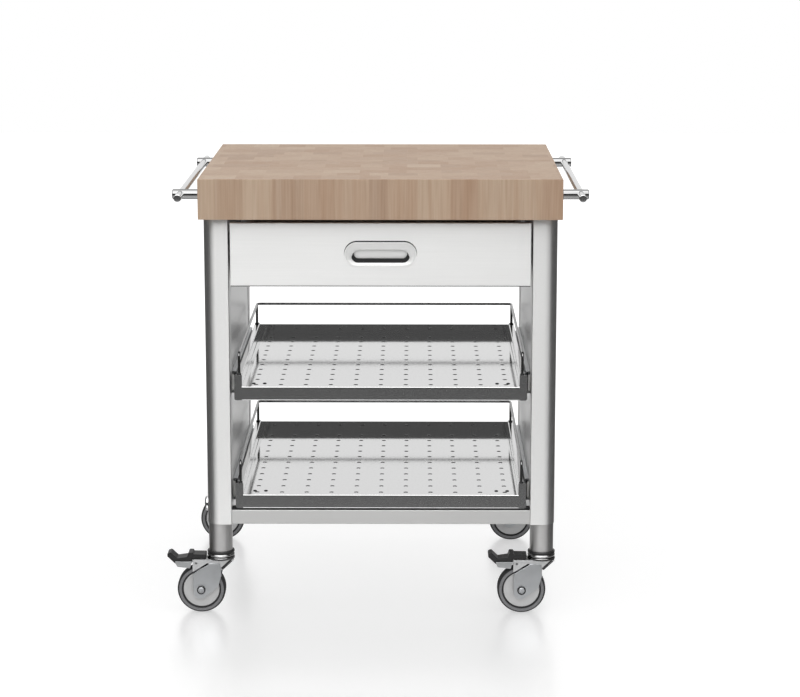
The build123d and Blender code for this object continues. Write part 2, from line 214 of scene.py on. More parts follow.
def rounded(corners, radii, steps=6):
    """An outline with its corners turned into arcs: each centre lies on the corner's bisector, and
    the arc swings evenly between the two points where its circle touches the sides."""
    p = np.asarray(corners, float)
    r = np.broadcast_to(radii, len(p)).astype(float)[:, None]
    a, b = unit(np.roll(p, 1, 0) - p), unit(np.roll(p, -1, 0) - p)
    half = np.arccos(np.clip((a * b).sum(1, keepdims=True), -1, 1)) / 2
    half = np.clip(half, 1e-6, math.pi / 2 - 1e-6)
    centre = p + unit(a + b) * r / np.sin(half)
    u = p + a * r / np.tan(half) - centre
    w = p + b * r / np.tan(half) - centre
    turn = (math.pi - 2 * half)[:, None]
    t = np.linspace(0, 1, steps + 1)[None, :, None]
    swing = np.sin((1 - t) * turn) * u[:, None] + np.sin(t * turn) * w[:, None]
    return (centre[:, None] + swing / np.sin(turn)).reshape(-1, 2)


def walled(outer, inner, axis, start, end, closed=True):
    """A wall between two matching outlines, carried along an axis: the two outlines at both ends
    make four rows, and an open wall gets a face at each of its own ends."""
    rows = np.stack([laid(line, along, axis) for line, along in
                     ((outer, start), (outer, end), (inner, end), (inner, start))])
    points, faces = skin(rows, joined=True, closed=closed)
    if not closed:
        faces.append(np.arange(len(points)).reshape(4, -1)[:, [0, -1]].T)
    return points, faces


sides = ("right", "left")


def on_side(side, shape):
    """A shape drawn on the right, or its mirror image on the left."""
    points, faces = shape
    return (points * (-1, 1, 1), faces) if side == "left" else shape


# Satin stainless: the belt leaves fine parallel scratches, here 3 mm apart and far longer than
# wide, which stretch every reflection across the grain and turn it milky.
def satin_steel(name, grain, colour="#e4e4e3", rough=0.42, stretch=0.85, metal=1.0):
    """Stainless sheet whose scratches run level, along the axis that grain names, so that they
    spread a reflection up and down by stretch. Below 1, metal makes it milkier."""
    made, tree, shader, place = new_finish(name, Metallic=metal, Anisotropic=stretch)
    across = {"x": (6, 330, 330), "y": (330, 6, 330)}[grain]
    stretched = add_node(tree, "Mapping", {"Vector": place, "Scale": across})
    scratches = add_node(tree, "TexNoise", {"Vector": stretched, "Scale": 1.0, "Detail": 3.0,
                                            "Roughness": 0.65})
    patches = add_node(tree, "TexNoise", {"Vector": place, "Scale": 3.5, "Detail": 2.0})
    bright = linear(colour)
    dull = tuple(v * 0.93 for v in bright[:3]) + (1.0,)
    tone = add_node(tree, "Mix", {0: scratches, 6: dull, 7: bright}, data_type="RGBA")
    wear = add_node(tree, "MapRange", {"Value": scratches, "To Min": rough - 0.05,
                                       "To Max": rough + 0.05})
    worn = add_node(tree, "Math", {0: patches, 1: 0.06, 2: wear}, operation="MULTIPLY_ADD")
    ridges = add_node(tree, "Bump", {"Height": scratches, "Strength": 0.12, "Distance": 0.0001})
    set_inputs(shader, {"Base Color": tone.outputs[2], "Roughness": worn, "Normal": ridges,
                        "Tangent": add_node(tree, "CombineXYZ", {"Z": 1.0})})
    return made


lengthways_satin = satin_steel("satin_stainless_lengthways", "y")

casing_in, casing_out, casing_half, lip_end = 300, 350, 296, 247
casing_foot, casing_round, sheet = 188, 25, 1.0


def casing_line(grow):
    """The casing's outline from lip to lip, moved outwards by grow: three bends a side, the tight
    one at the lip and the wide one round the leg, all about the same centres."""
    low, high, deep = casing_in + 0.5 - grow, casing_out - 0.5 + grow, casing_half - 0.5 + grow
    corners = [(low, -lip_end), (low, -deep), (high, -deep), (high, deep), (low, deep),
               (low, lip_end)]
    tight, wide = 1.5 + grow, casing_round - 0.5 + grow
    steps = 16
    return rounded(corners, [0, tight, wide, wide, tight, 0], steps)[steps:-steps]


wall = walled(casing_line(0.5), casing_line(-0.5), "z", casing_foot, top_low, closed=False)
foot = prism(casing_line(-0.4), "z", casing_foot + 0.1, casing_foot + sheet)
for side in sides:
    make_piece(f"{side}_casing_sheet", [on_side(side, wall), on_side(side, foot)], "frame",
               "brushed_steel", lengthways_satin, f"{side}_casing")


# Inner panels: flat stainless sheets, more finely ground than the casings, riveted behind the
# casings' lips. They carry the slides.

# Finer grit, for a clearer sheen.
panel_satin = satin_steel("satin_stainless_panel", "y", "#dededd", 0.3, 0.5)
panel_half = 259
panel = box_shape(301, 302, -panel_half, panel_half, casing_foot + sheet, top_low)
for side in sides:
    make_piece(f"{side}_inner_sheet", [on_side(side, panel)], "frame", "brushed_steel",
               panel_satin, f"{side}_inner_panel")


# Legs: drawn stainless tube, 47.6 by 1.5 mm, ground round and cut off square. They run inside the
# casings from the block down to the castors.

def turned(profile, axis, centre, turns=64):
    """A profile of places along an axis and radii, spun once about the axis through centre. It is
    closed on itself, or runs from axis to axis, where its ends become poles."""
    along, radius = np.asarray(profile, float).T
    angle = np.linspace(0, 2 * math.pi, turns, endpoint=False)[:, None]
    u, v = radius * np.cos(angle), radius * np.sin(angle)
    points = np.roll(np.stack(np.broadcast_arrays(u, v, along), -1), "zxy".index(axis), -1)
    points = points + np.asarray(centre, float)
    return skin(points, joined=True, closed=radius[0] > 0)


# Ground tube: greyer than the sheet, with a tighter highlight.
ground_tube = satin_steel("ground_stainless_tube", "x", "#d0cfce", 0.34, 0.7)
legs_x, legs_y, leg_low, leg_r, bore_r = 325, 271, 130, 23.8, 22.3
corners = {"front_left": (-legs_x, -legs_y), "front_right": (legs_x, -legs_y),
           "rear_left": (-legs_x, legs_y), "rear_right": (legs_x, legs_y)}
tube = [(leg_low, bore_r), (leg_low, leg_r - 0.4), (leg_low + 0.4, leg_r), (top_low, leg_r),
        (top_low, bore_r)]
for corner, (x, y) in corners.items():
    make_piece(f"{corner}_leg_tube", [turned(tube, "z", (x, y, 0), 72)], "frame",
               "brushed_steel", ground_tube, f"{corner}_leg")


# Bottom rails: square stainless tube, 30 by 1.5 mm, with drawn round corners, welded between the
# casings at front and back.

# Drawn tube: the darkest of the satin steels, toned down as painted shade.
shade_dark_square_tube = satin_steel("shade_dark_drawn_square_tube", "x", "#c0c0bf")
rail_low, rail_size, rail_corner, bore_corner, rail_wall = 189, 30, 2.5, 1.0, 1.5
rail_y = casing_half - rail_size / 2


def square_line(y, size, corner):
    """A square with round corners about the rail's middle, in Y and Z."""
    h = size / 2
    z = rail_low + rail_size / 2
    return rounded([(y - h, z - h), (y + h, z - h), (y + h, z + h), (y - h, z + h)], corner, 5)


for name, y in (("front", -rail_y), ("rear", rail_y)):
    tube = walled(square_line(y, rail_size, rail_corner),
                  square_line(y, rail_size - 2 * rail_wall, bore_corner),
                  "x", -casing_in, casing_in)
    make_piece(f"{name}_bottom_tube", [tube], "frame", "brushed_steel", shade_dark_square_tube,
               f"{name}_bottom_rail")


# Rail strip: a black strip on the front bottom rail's top, painted shade for the dark gap between
# the lower tray's hem and the rail.

def mottled(name, scale, detail, tones, dull=None, relief=None, **surface):
    """A finish with one noise in it: the tone goes between two colours with it, the roughness
    between the two values of dull, and relief is the bump's strength and depth in metres."""
    made, tree, shader, place = new_finish(name, **surface)
    noise = add_node(tree, "TexNoise", {"Vector": place, "Scale": scale, "Detail": detail})
    feeds = {"Base Color": add_node(tree, "ValToRGB", {"Fac": noise}, stops=enumerate(tones))}
    if dull:
        feeds["Roughness"] = add_node(tree, "MapRange", {"Value": noise, "To Min": dull[0],
                                                         "To Max": dull[1]})
    if relief:
        feeds["Normal"] = add_node(tree, "Bump", {"Height": noise, "Strength": relief[0],
                                                  "Distance": relief[1]})
    set_inputs(shader, feeds)
    return made


# Moulded nylon: black, with a spark-eroded grain that keeps it matt, drawn about 1 mm wide so that
# it shows.
black_nylon = mottled("black_moulded_nylon", 900.0, 2.0, ("#131314", "#242425"), (0.38, 0.55),
                      (0.2, 0.0002), Specular_IOR_Level=0.5)

strip_back = -268
strip = box_shape(-casing_in + 0.5, casing_in - 0.5, -casing_half + 0.3, strip_back,
                  rail_low + rail_size - 0.8, rail_low + rail_size + 1.8)
make_piece("front_rail_shade_strip", [strip], "frame", "black_plastic", black_nylon, ease=0.3)


# Top rails: flat stainless bars, 40 by 5 mm, under the block, each held by four pan-head screws of
# zinc-plated steel driven up from below.

# Zinc plate: a thin electroplated coat, cool grey, cloudy over some 15 mm, with a soft shine.
def zinc_plate(name, tones, dull):
    """Plated steel whose tone and roughness drift together in small clouds."""
    return mottled(name, 60.0, 4.0, tones, dull, Metallic=1.0)


zinc = zinc_plate("bright_zinc_plate", ("#b9bbbd", "#cfd0d1"), (0.26, 0.4))
# Brushed level: the palest sheet, toned up as painted light so that it reads nearly white.
light_pale_level_satin = satin_steel("light_pale_satin_stainless_level", "x", "#ececeb")
top_rail_y, top_rail_wide, top_rail_thick = 221, 40, 5
screw_z = top_low - top_rail_thick
screw_head = [(screw_z - 1.6, 0), (screw_z - 1.5, 2.6), (screw_z - 1.0, 4.2), (screw_z, 4.8),
              (screw_z + 0.5, 4.8), (screw_z + 0.5, 0)]
for name, y in (("front", -top_rail_y), ("rear", top_rail_y)):
    bar = box_shape(-casing_in, casing_in, y - top_rail_wide / 2, y + top_rail_wide / 2,
                    screw_z, top_low)
    make_piece(f"{name}_top_bar", [bar], "frame", "brushed_steel", light_pale_level_satin,
               f"{name}_top_rail", ease=0.4)
    screws = [turned(screw_head, "z", (x, y, 0), 20) for x in (-240, -80, 80, 240)]
    make_piece(f"{name}_top_screws", screws, "frame", "zinc_steel", zinc)


# Side cap: a turned and buffed stainless plug, domed and 30 mm across, pressed into the opening
# low in the left casing's outer face.

# Buffed stainless: a clear mirror, with a faint haze that comes and goes over some 7 mm.
def buffed_steel(name, tones, dull):
    """Stainless that mirrors its surround, with a slightly uneven tone and haze."""
    return mottled(name, 140.0, 3.0, tones, dull, Metallic=1.0)


polished = buffed_steel("buffed_stainless_bar", ("#dbdbdb", "#e0e0e0"), (0.05, 0.12))
cap_y, cap_z, cap_r = -263, 224, 15
cap = [(-casing_out - rise, r) for rise, r in
       ((6, 0), (6, cap_r - 4), (5.4, cap_r - 2), (3.5, cap_r - 0.4), (2.5, cap_r), (0, cap_r),
        (0, 0))]
make_piece("left_cap_plug", [turned(cap, "x", (0, cap_y, cap_z), 40)], "frame",
           "polished_steel", polished, "left_side_cap")


# Drawer: a brushed pan front with a pressed pull let into it, on a folded box of the same sheet.
# Black strips above the pull's upper lip, in its slot and under the front are painted shade.

drawer_half, drawer_low, drawer_high = 297, 676, 801
front_y, front_back = -296, -276
drawer_z = (drawer_low + drawer_high) / 2
cup_wide, cup_tall = 143, 50
slot_wide, slot_tall, slot_z, slot_y = 115, 26, drawer_z - 4, -292
pocket_tall, pocket_z, pocket_y = 36, slot_z - 5, -285
rim_points = 96


def stadium(wide, tall, z, y):
    """A slot's outline that faces the front: rays leave its middle at angles squeezed to its own
    proportion, and each ends where it meets the straight edge, at r / |v|, or else the round end,
    at s |u| + the root of r squared less (s v) squared, with s half the straight's length."""
    angle = np.linspace(0, 2 * math.pi, rim_points, endpoint=False)
    u, v = np.cos(angle) * wide, np.sin(angle) * tall
    u, v = u / np.hypot(u, v), v / np.hypot(u, v)
    r = tall / 2
    s = wide / 2 - r
    on_edge = r / np.maximum(np.abs(v), 1e-9)
    on_end = s * np.abs(u) + np.sqrt(np.maximum(r ** 2 - (s * v) ** 2, 0))
    reach = np.where(r * np.abs(u) <= s * np.abs(v), on_edge, on_end)
    return laid(np.stack([reach * u, z + reach * v], 1), y, "y")


def oblong(wide, tall, z, y):
    """A rectangle's outline at a stadium's angles: a circle's points pushed out until they meet
    the nearer pair of sides. The points are a multiple of 8, so that some fall on its corners."""
    angle = np.linspace(0, 2 * math.pi, rim_points, endpoint=False)
    u, v = np.cos(angle), np.sin(angle)
    scale = 1 / np.maximum(np.abs(u), np.abs(v))
    return laid(np.stack([u * scale * wide / 2, z + v * scale * tall / 2], 1), y, "y")


def slots(outlines, caps=()):
    """Stadiums joined one to the next."""
    return skin(np.stack([stadium(*outline) for outline in outlines]), caps=caps)


wide, tall = 2 * drawer_half, drawer_high - drawer_low
hole = (cup_wide - 6, cup_tall - 6, drawer_z)
pan = [stadium(*hole, front_y + 2), stadium(*hole, front_y),
       stadium(cup_wide - 2, cup_tall - 2, drawer_z, front_y)]
pan += [oblong(wide - less, tall - less, drawer_z, y) for less, y in
        ((5.0, front_y), (2.0, front_y), (0.6, front_y + 0.3), (0, front_y + 1.0), (0, front_back))]
make_piece("drawer_pan_front", [skin(np.stack(pan), caps=(-1,))], "drawer", "brushed_steel",
           light_pale_level_satin, "drawer_front")

lip = [(cup_wide - less, cup_tall - less, drawer_z + up, front_y + back) for less, up, back in
       ((0, 0, 0), (0.4, 0, -0.35), (1.2, 0, -0.5), (5.4, 0, -0.5), (7.0, 0, -0.1),
        (8.2, -0.2, 0.8))]
dish = [(slot_wide + more, slot_tall + more, slot_z + up, slot_y + back) for more, up, back in
        ((5, 0.3, -1.2), (2.5, 0, -0.2), (0.6, 0, 0.2), (0, 0, 1.0), (0, 0, 1.6))]
pocket = [(slot_wide, pocket_tall, pocket_z, slot_y + 1.8),
          (slot_wide, pocket_tall, pocket_z, pocket_y - 1.5),
          (slot_wide - 3, pocket_tall - 3, pocket_z, pocket_y)]
# Pressed satin: scratches blurred by the press, milky, and toned pale as painted light.
light_pale_cup_satin = satin_steel("light_pale_pressed_satin_cup", "x", "#f2f2f1", 0.5, 0.4, 0.55)
make_piece("drawer_pressed_pull", [slots(lip + dish + pocket, caps=(-1,))], "drawer",
           "mirror_steel", light_pale_cup_satin, "drawer_pull_cup")

# A thin black crescent above the cup's upper lip, a black band in the slot and a black strip under
# the pan's lower edge are painted shade: the shadows under the lip, deep in the pocket and under
# the front.
lip_shade_out = (cup_wide + 0.8, cup_tall + 0.8, drawer_z + 2.2)
lip_shade_in = (cup_wide - 4, cup_tall - 4, drawer_z)
lip_shade_crescent = slots([(*lip_shade_out, front_y + 0.5), (*lip_shade_out, front_y - 0.2),
                (*lip_shade_in, front_y - 0.2), (*lip_shade_in, front_y + 0.5)])
slot_shade_out = (slot_wide + 1, slot_tall + 2, slot_z)
slot_shade_in = (slot_wide - 10, slot_tall - 7.8, slot_z + 4.7)
slot_shade_band = slots([(*slot_shade_out, slot_y + 4), (*slot_shade_out, slot_y + 2), (*slot_shade_in, slot_y + 2),
              (*slot_shade_in, slot_y + 4)])
under_front_shade_strip = box_shape(-drawer_half + 1, drawer_half - 1, front_y + 0.8, front_back,
                       drawer_low - 1.4, drawer_low + 0.1)
make_piece("drawer_painted_shade_strips", [lip_shade_crescent, slot_shade_band, under_front_shade_strip], "drawer",
           "black_plastic", black_nylon)


def other_half(line):
    """The mirror image of the first half of a line, in reverse, so that it goes on from it."""
    return [(-along, r) for along, r in reversed(line)]


def folded(path, thick, bend, axis, start, end, steps=5):
    """A sheet folded along an open path and carried along an axis: the path's corners become arcs,
    and each point moves half the thickness to either side along the path's normal."""
    path = np.asarray(path, float)
    radii = np.r_[0.0, np.broadcast_to(bend, len(path) - 2), 0.0]
    line = rounded(path, radii, steps)[steps:-steps]
    line = line[np.r_[True, np.linalg.norm(np.diff(line, axis=0), axis=1) > 1e-4]]
    run = unit(np.diff(line, axis=0))
    along = unit(np.concatenate([run[:1], run[:-1] + run[1:], run[-1:]]))
    normal = np.stack([-along[:, 1], along[:, 0]], 1) * thick / 2
    return walled(line + normal, line - normal, axis, start, end, closed=False)


box_half, box_low, box_high, box_back = 287.9, 689.5, 781.5, 264
side_path = [(-box_half + 3.2, box_high - 5.5), (-box_half + 3.2, box_high - 0.5),
             (-box_half + 0.5, box_high - 0.5), (-box_half + 0.5, box_low + 0.5)]
trough = folded(side_path + other_half(side_path), sheet, 1.2, "y", front_back + 0.2, box_back)
ends = [box_shape(-box_half + 1, box_half - 1, y, y + sheet, box_low + 1, box_high - 1)
        for y in (front_back + 0.2, box_back - sheet)]
make_piece("drawer_folded_box", [trough] + ends, "drawer", "brushed_steel",
           lengthways_satin, "drawer_box")


# Slides: rolled zinc-plated channels in three members a side, which run on ball strips. The
# outer is screwed to the inner panel, and the inner carries the drawer or the tray. Small moulded
# stops and caps sit at their front ends.

def both_sides(shape):
    """A shape on the right and its mirror image on the left."""
    return [on_side(side, shape) for side in sides]


slide_face, slide_half_long, slide_sheet = 301, 240, 1.2
members = {
    "outer": [(9, 19.4), (9, 21.9), (0.6, 21.9), (0.6, -21.9), (9, -21.9), (9, -19.4)],
    "middle": [(3.2, 19.9), (5.5, 16.9), (5.5, -16.9), (3.2, -19.9)],
    "inner": [(8, 15.9), (9, 13.9), (12.4, 10.9), (12.4, -10.9), (9, -13.9), (8, -15.9)]}
# Natural nylon of the stops and white caps: milky, slightly glossy, mottled over some 5 mm.
nylon = mottled("natural_nylon_stop", 200.0, 2.0, ("#e4e4e1", "#f0f0ee"), Roughness=0.4)
for level, z in (("drawer", 735.5), ("upper_tray", 470), ("lower_tray", 248)):
    middle = f"{level}_middle"
    for member, points in members.items():
        path = [(slide_face - reach, z + rise) for reach, rise in points]
        channel = folded(path, slide_sheet, 0.9 if member == "inner" else 1.2, "y",
                         -slide_half_long, slide_half_long, 4)
        body = {"outer": "frame", "middle": middle, "inner": level}[member]
        make_piece(f"{level}_slide_{member}", both_sides(channel), body, "zinc_steel", zinc,
                   f"{level}_slides_{member}")
    for part, near, far, reach, half_tall, body, slot, finish, ease in (
            ("stops", 298.7, 300.6, 4, 17, "frame", "grey_plastic", nylon, 0.4),
            ("end_caps", 296.2, 298.5, 3, 16, middle, "grey_plastic", nylon, 0),
            ("bumpers", 293.3, 296.1, 3, 18, middle, "black_plastic", black_nylon, 0)):
        stop = box_shape(near, far, -slide_half_long - reach, -slide_half_long + 0.5,
                         z - half_tall, z + half_tall)
        make_piece(f"{level}_slide_{part}", both_sides(stop), body, slot, finish, ease=ease)


# Trays: bright annealed stainless sheet, punched with drain holes and folded up at the sides,
# down at the front as an apron with a rolled hem, and up at the back. Black nylon plugs fill the
# four screw holes behind the apron.

# Bright annealed sheet: nearly a mirror, with a slow waviness of the rolled sheet, some 70 mm
# long, and a grain of about 5 mm in its haze.
bright_sheet, tree, shader, place = new_finish("bright_annealed_sheet", Metallic=1.0)
waves = add_node(tree, "TexNoise", {"Vector": place, "Scale": 14.0, "Detail": 1.0})
fine = add_node(tree, "TexNoise", {"Vector": place, "Scale": 180.0, "Detail": 3.0})
tone = add_node(tree, "ValToRGB", {"Fac": fine}, stops=[(0, "#d9d9d9"), (1, "#e6e6e6")])
haze = add_node(tree, "MapRange", {"Value": fine, "To Min": 0.05, "To Max": 0.11})
unevenness = add_node(tree, "Bump", {"Height": waves, "Strength": 0.05, "Distance": 0.001})
set_inputs(shader, {"Base Color": tone, "Roughness": haze, "Normal": unevenness})

tray_levels = {"upper_tray": 472, "lower_tray": 250}
floor_half, floor_front, floor_back = 274.0, -290.0, 276.0
hole_step, hole_many, hole_first, hole_sides, cell_half = 50, 11, -274, 16, 8.0
# Each ring of a hole's rolled edge: its radius, and its height over the sheet's face.
hole_rings = np.array([(4.9, 0.0), (4.45, -0.12), (4.15, -0.45), (4.0, -1.0), (4.0, -1.9)])
hole_flare = 1.15


def punched_floor(z):
    """A sheet on the grid of lines that pass the holes, half a cell from each centre. Cells with a
    hole get four faces from their corners to a ring of points, and rings of falling radius that
    roll the hole's edge down; every other cell is one face above and one below. The last two rings
    flare out under the sheet."""
    hole_x = (np.arange(hole_many) - (hole_many - 1) / 2) * hole_step
    hole_y = hole_first + np.arange(hole_many) * hole_step
    xs = np.sort(np.r_[-floor_half, floor_half, hole_x - cell_half, hole_x + cell_half])
    ys = np.sort(np.r_[floor_front, floor_back, hole_y - cell_half, hole_y + cell_half])
    gx, gy = np.meshgrid(xs, ys, indexing="ij")
    many = gx.size
    flat = np.stack([gx.ravel(), gy.ravel()], 1)
    ids = np.arange(many).reshape(gx.shape)
    cells = quads(ids)
    holed = np.zeros(cells.shape[:2], bool)
    holed[np.ix_(np.searchsorted(xs, hole_x) - 1, np.searchsorted(ys, hole_y) - 1)] = True
    plain, cut = cells[~holed], cells[holed]
    rim = np.r_[ids[:, 0], ids[-1, 1:], ids[-2::-1, -1], ids[0, -2:0:-1]]
    edge = np.stack([rim, np.roll(rim, -1), np.roll(rim, -1) + many, rim + many], 1)
    angle = (np.arange(hole_sides) / hole_sides * 2 - 0.75) * math.pi
    radii = np.r_[hole_rings[:, 0], [hole_rings[-1, 0] * hole_flare] * 2]
    heights = z + np.r_[hole_rings[:, 1], hole_rings[-1, 1], -sheet]
    circle = radii[:, None, None] * np.stack([np.cos(angle), np.sin(angle)], -1)
    ring = np.empty((len(cut), len(radii), hole_sides, 3))
    ring[..., :2] = flat[cut].mean(1)[:, None, None] + circle
    ring[..., 2] = heights[:, None]
    stack = 2 * many + np.arange(ring[..., 0].size).reshape(ring.shape[:3])
    quarter = hole_sides // 4
    faces = [plain, plain + many, edge, quads(np.pad(stack, ((0, 0), (0, 0), (0, 1)), "wrap"))]
    for q in range(4):
        arc = np.arange((q + 1) * quarter, q * quarter - 1, -1) % hole_sides
        pair = cut[:, [q, (q + 1) % 4]]
        faces += [np.c_[pair, stack[:, 0][:, arc]], np.c_[pair + many, stack[:, -1][:, arc]]]
    return np.concatenate([laid(flat, z, "z"), laid(flat, z - sheet, "z"),
                           ring.reshape(-1, 3)]), faces


# The wall of each hole: torn, matt metal in flecks of about 1 mm, toned far darker than the sheet
# as painted shade inside the holes.
hole_shade_finish = mottled("hole_shade_stainless_edge", 700.0, 2.0, ("#3c3c3c", "#5a5a5a"), (0.45, 0.65),
                  Metallic=1.0)


def shade_hole_walls(sheet_piece, z):
    """Gives the walls of the holes the dark finish that paints shade in them: the faces whose
    middles lie under the sheet's face and within a hole's radius of the nearest centre of the grid."""
    mesh = sheet_piece.data
    middle = np.empty(len(mesh.polygons) * 3)
    mesh.polygons.foreach_get("center", middle)
    x, y, height = middle.reshape(-1, 3).T / MM
    last = (hole_many - 1) / 2
    near_x = np.clip(np.round(x / hole_step), -last, last) * hole_step
    near_y = np.clip(np.round((y - hole_first) / hole_step), 0, hole_many - 1) * hole_step
    far = np.hypot(x - near_x, y - hole_first - near_y)
    wall = (far < hole_rings[1, 0]) & (height < z - 0.1) & (height > z - 2.5)
    mesh.materials.append(hole_shade_finish)
    mesh.polygons.foreach_set("material_index", wall.astype(np.int32))


side_in, side_out, side_rise, skirt_drop = 276.9, 287.4, 23.5, 27.5
apron_half, apron_y, hem_y, hem_rise = 277, front_y + 0.5, -286.5, 8.5
ear_out, ear_top, back_rise = 292, 24, 20
plug_y, plug_x = -264, (-255, -233, 233, 255)
for tray, z in tray_levels.items():
    low = z - skirt_drop
    fold = [(floor_half, z - 0.5), (side_in, z - 0.5), (side_in, z + side_rise),
            (side_out, z + side_rise), (side_out, low)]
    channel = folded(fold, sheet, 1.6, "y", front_y + 1, floor_back)
    apron_fold = [(floor_front, z - 0.5), (apron_y, z - 0.5), (apron_y, low), (hem_y, low),
                  (hem_y, low + hem_rise)]
    apron = folded(apron_fold, sheet, (0.8, 1.6, 1.6), "x", -apron_half, apron_half)
    ear = prism(rounded([(apron_half, low - 0.1), (ear_out, low - 0.1), (ear_out, z + ear_top),
                         (apron_half, z + ear_top)], [0.3, 4, 2, 2]), "y", front_y, front_y + sheet)
    back = box_shape(-box_half, box_half, floor_back, floor_back + sheet, low - 0.5, z + back_rise)
    sheets = [punched_floor(z), *both_sides(channel), apron, *both_sides(ear), back]
    shade_hole_walls(make_piece(f"{tray}_sheet", sheets, tray, "mirror_steel", bright_sheet, tray), z)
    plug = [(z, 0), (z, 4.0), (z + 0.6, 3.8), (z + 1.4, 2.6), (z + 1.7, 0)]
    plugs = [turned(plug, "z", (x, plug_y, 0), 20) for x in plug_x]
    make_piece(f"{tray}_plugs", plugs, tray, "black_plastic", black_nylon)


# Tray rails: one 5.5 mm polished stainless rod round the sides and back of each tray, bent at the
# corners, with a stay near each back corner. Small black rings at its feet on the side walls are
# painted shade where the rod meets the wall.

def bent_rod(corners, radius, bend):
    """A rod along a path of corners rounded by arcs, as a curve with a round bevel made a mesh."""
    p = np.asarray(corners, float)
    inner = p[1:-1]
    a, b = unit(p[:-2] - inner), unit(p[2:] - inner)
    centre = inner + (a + b) * bend
    t = np.linspace(0, math.pi / 2, 9)[None, :, None]
    arcs = centre[:, None] - b[:, None] * bend * np.cos(t) - a[:, None] * bend * np.sin(t)
    line = np.concatenate([p[:1], arcs.reshape(-1, 3), p[-1:]]) * MM
    curve = bpy.data.curves.new("rod", "CURVE")
    curve.dimensions = "3D"
    curve.bevel_depth = radius * MM
    curve.bevel_resolution = 4
    curve.use_fill_caps = True
    spline = curve.splines.new("POLY")
    spline.points.add(len(line) - 1)
    spline.points.foreach_set("co", np.c_[line, np.ones(len(line))].ravel())
    holder = bpy.data.objects.new("rod_path", curve)
    mesh = bpy.data.meshes.new_from_object(holder)
    points = np.empty(len(mesh.vertices) * 3)
    mesh.vertices.foreach_get("co", points)
    faces = {}
    for face in mesh.polygons:
        faces.setdefault(len(face.vertices), []).append(list(face.vertices))
    bpy.data.objects.remove(holder)
    bpy.data.curves.remove(curve)
    bpy.data.meshes.remove(mesh)
    return points.reshape(-1, 3) / MM, [np.array(group) for group in faces.values()]


rod_r, rod_bend, rod_low, rod_high = 2.75, 8, 24, 67
rod_x, rod_front, rod_back, stay_y = 282.15, -290.5, 271.25, 257.25
# Polished rod: a mirror toned dark as painted shade, for the dim inside of the trolley.
shade_dark_rod_steel = buffed_steel("shade_dark_polished_rod", ("#797979", "#7c7c7c"), (0.06, 0.14))
for tray, z in tray_levels.items():
    low, high = z + rod_low, z + rod_high
    hoop = bent_rod([(-rod_x, rod_front, low), (-rod_x, rod_front, high),
                     (-rod_x, rod_back, high), (rod_x, rod_back, high),
                     (rod_x, rod_front, high), (rod_x, rod_front, low)], rod_r, rod_bend)
    stay = [(low, 0), (low, rod_r), (high, rod_r), (high, 0)]
    stays = [turned(stay, "z", (x, stay_y, 0), 20) for x in (-rod_x, rod_x)]
    make_piece(f"{tray}_rod_rail", [hoop] + stays, tray, "polished_steel", shade_dark_rod_steel,
               f"{tray}_rail", crisp=50)
    # Black rings round the rod's feet: painted shade where the rod meets the side wall.
    ring = [(low, 0), (low, 4.6), (low + 1.6, 4.4), (low + 2.6, 3.2), (low + 2.6, 0)]
    foot_shade_rings = [turned(ring, "z", (x, y, 0), 24) for x in (-rod_x, rod_x)
                for y in (rod_front, stay_y)]
    make_piece(f"{tray}_rod_foot_shade_rings", foot_shade_rings, tray, "black_plastic", black_nylon)


# Side handles: a 15 mm bar through two turned posts at each end of the block, all buffed, with
# eased ends and a small set screw in each post.

handle_z, bar_x, bar_half, bar_r = 855, 394.5, 338, 7.5
post_r, post_end, grub_low = 10, 410.5, 844.5
bar = [(-bar_half, 0), (-bar_half, bar_r - 1.2), (-bar_half + 0.5, bar_r - 0.3),
       (-bar_half + 1.2, bar_r)]
bar += other_half(bar)
post = [(half_x, 0), (half_x, post_r + 2.2), (half_x + 1.6, post_r + 2.2),
        (half_x + 2.4, post_r + 1.4), (half_x + 2.4, post_r), (post_end - 2.0, post_r),
        (post_end - 0.8, post_r - 0.5), (post_end, post_r - 1.8), (post_end, 0)]
grub = [(grub_low, 0), (grub_low, 2.2), (grub_low + 1.5, 2.5), (grub_low + 1.5, 0)]
# Polished posts: toned darker than the bars as painted dark reflection, with hard highlights.
dark_reflection_post_steel = buffed_steel("dark_reflection_handle_post", ("#8b8b8b", "#8e8e8e"), (0.05, 0.1))
posts = [turned(post, "x", (0, y, handle_z), 56) for y in (-legs_y, legs_y)]
posts += [turned(grub, "z", (bar_x, y, 0), 20) for y in (-legs_y, legs_y)]
for side in sides:
    rod = on_side(side, turned(bar, "y", (bar_x, 0, handle_z), 48))
    make_piece(f"{side}_handle_rod", [rod], "frame", "polished_steel", polished,
               f"{side}_handle_bar")
    make_piece(f"{side}_handle_turned_posts", [on_side(side, shape) for shape in posts], "frame",
               "polished_steel", dark_reflection_post_steel, f"{side}_handle_posts")


# Castor sockets and pins: a flanged black plug pressed into each leg's foot, and the threaded pin
# with its ball race, which the fork turns under.

socket_profile = [(125.2, 6.1), (125.2, 26.6), (126.0, 27.4), (128.6, 27.5), (129.6, 26.8),
                  (130, 25.4), (130, 22.2), (165, 22.2), (165, 6.1)]
race_profile = [(117.3, 0), (117.3, 25.2), (118.6, 26.9), (121.0, 27.7), (123.4, 26.9),
                (124.7, 25.2), (124.7, 6.0), (159, 6.0), (159, 0)]
pin_profile = [(105.1, 0), (105.1, 9.6), (106.5, 11), (108.9, 11), (108.9, 6), (117.3, 6),
               (117.3, 0)]
make_piece("socket_plugs", [turned(socket_profile, "z", (x, y, 0), 56)
                            for x, y in corners.values()],
           "frame", "black_plastic", black_nylon, "leg_sockets")
